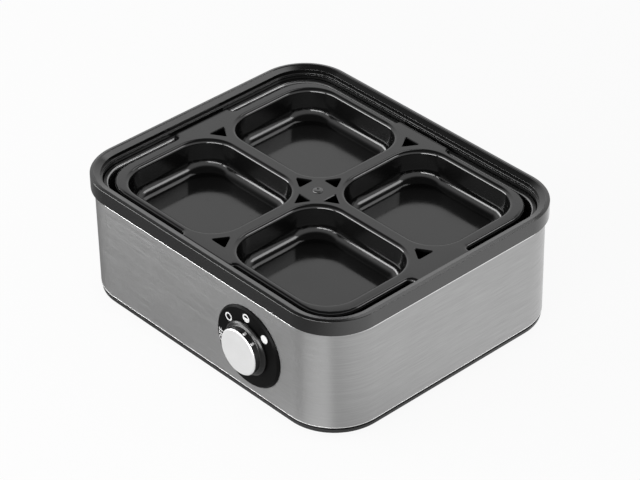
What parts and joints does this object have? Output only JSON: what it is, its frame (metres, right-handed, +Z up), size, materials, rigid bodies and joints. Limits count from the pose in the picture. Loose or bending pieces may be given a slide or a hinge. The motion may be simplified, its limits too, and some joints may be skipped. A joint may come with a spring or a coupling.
{
  "type": "egg boiler",
  "caption": "Counter-top electric egg boiler: a rounded steel box with a black rim, a lift-out tray of poaching wells and a front heat dial.",
  "frame": {"origin": "on the surface the feet stand on, under the middle of the outline, with the knob and the rear inlet flange counted in the outline", "axes": "+Z up; the dial looks along -Y; +X is to the right for someone who faces the dial"},
  "size_m": [0.2, 0.1754, 0.0733],
  "materials": {
    "black_plastic": "satin moulded black",
    "brushed_steel": "brushed stainless sheet, grain running round the body",
    "coated_bowl": "black non-stick coating on pressed aluminium",
    "silicone": "soft brick-red silicone",
    "gloss_tray": "glossy black non-stick surface",
    "gloss_black": "smooth black moulding",
    "silver_cap": "pale satin cap with a bright bevel",
    "zinc_steel": "zinc-plated steel",
    "foot_rubber": "matt black rubber",
    "phenolic": "dark brown thermoset moulding",
    "ceramic": "off-white ceramic sleeve",
    "brass": "plain brass",
    "heater_sheath": "dull grey heater sheath",
    "lead_brown": "brown insulation",
    "lead_red": "red insulation",
    "lead_blue": "blue insulation",
    "lead_green": "green insulation"
  },
  "bodies": {
    "housing": {"base_pan": "black_plastic", "bowl_seal": "silicone", "clamp_bar_left": "zinc_steel", "clamp_bar_right": "zinc_steel", "clamp_nut_left": "zinc_steel", "clamp_nut_right": "zinc_steel", "control_nut": "zinc_steel", "control_tag_in": "brass", "control_tag_out": "brass", "control_washer": "zinc_steel", "dial_plate": "gloss_black", "earth_nut": "zinc_steel", "earth_tag": "brass", "foot_back_left": "foot_rubber", "foot_back_right": "foot_rubber", "foot_front_left": "foot_rubber", "foot_front_right": "foot_rubber", "fuse_clip": "zinc_steel", "heat_shield": "zinc_steel", "heater_pin_left": "zinc_steel", "heater_pin_right": "zinc_steel", "heater_tube": "heater_sheath", "heating_bowl": "coated_bowl", "inlet_nut_left": "zinc_steel", "inlet_nut_right": "zinc_steel", "inlet_pin_earth": "brass", "inlet_pin_live": "brass", "inlet_pin_neutral": "brass", "inlet_screw_left": "zinc_steel", "inlet_screw_right": "zinc_steel", "lead_earth": "lead_green", "lead_fuse": "lead_blue", "lead_heater": "lead_red", "lead_live": "lead_brown", "lead_neutral": "lead_blue", "lead_switched": "lead_red", "limiter": "phenolic", "limiter_nut_left": "zinc_steel", "limiter_nut_right": "zinc_steel", "mains_inlet": "gloss_black", "rotary_control": "phenolic", "shield_nut_left": "zinc_steel", "shield_nut_right": "zinc_steel", "steel_sleeve": "brushed_steel", "thermal_fuse": "ceramic", "tie_screw_back_left": "zinc_steel", "tie_screw_back_right": "zinc_steel", "tie_screw_front_left": "zinc_steel", "tie_screw_front_right": "zinc_steel", "top_rim": "black_plastic"},
    "knob": {"knob_body": "black_plastic", "knob_cap": "silver_cap", "control_shaft": "zinc_steel"},
    "tray": {"cooking_tray": "gloss_tray", "tray_rivet": "zinc_steel"}
  },
  "joints": [
    {"name": "knob_turn", "type": "hinge", "parent": "housing", "child": "knob", "pos_m": [0.0392, -0.0801, 0.0337], "axis": [0, 1, 0], "range_deg": [-120, 24]},
    {"name": "tray_lift", "type": "slide", "parent": "housing", "child": "tray", "axis": [0, 0, 1], "range_m": [0, 0.06]}
  ]
}
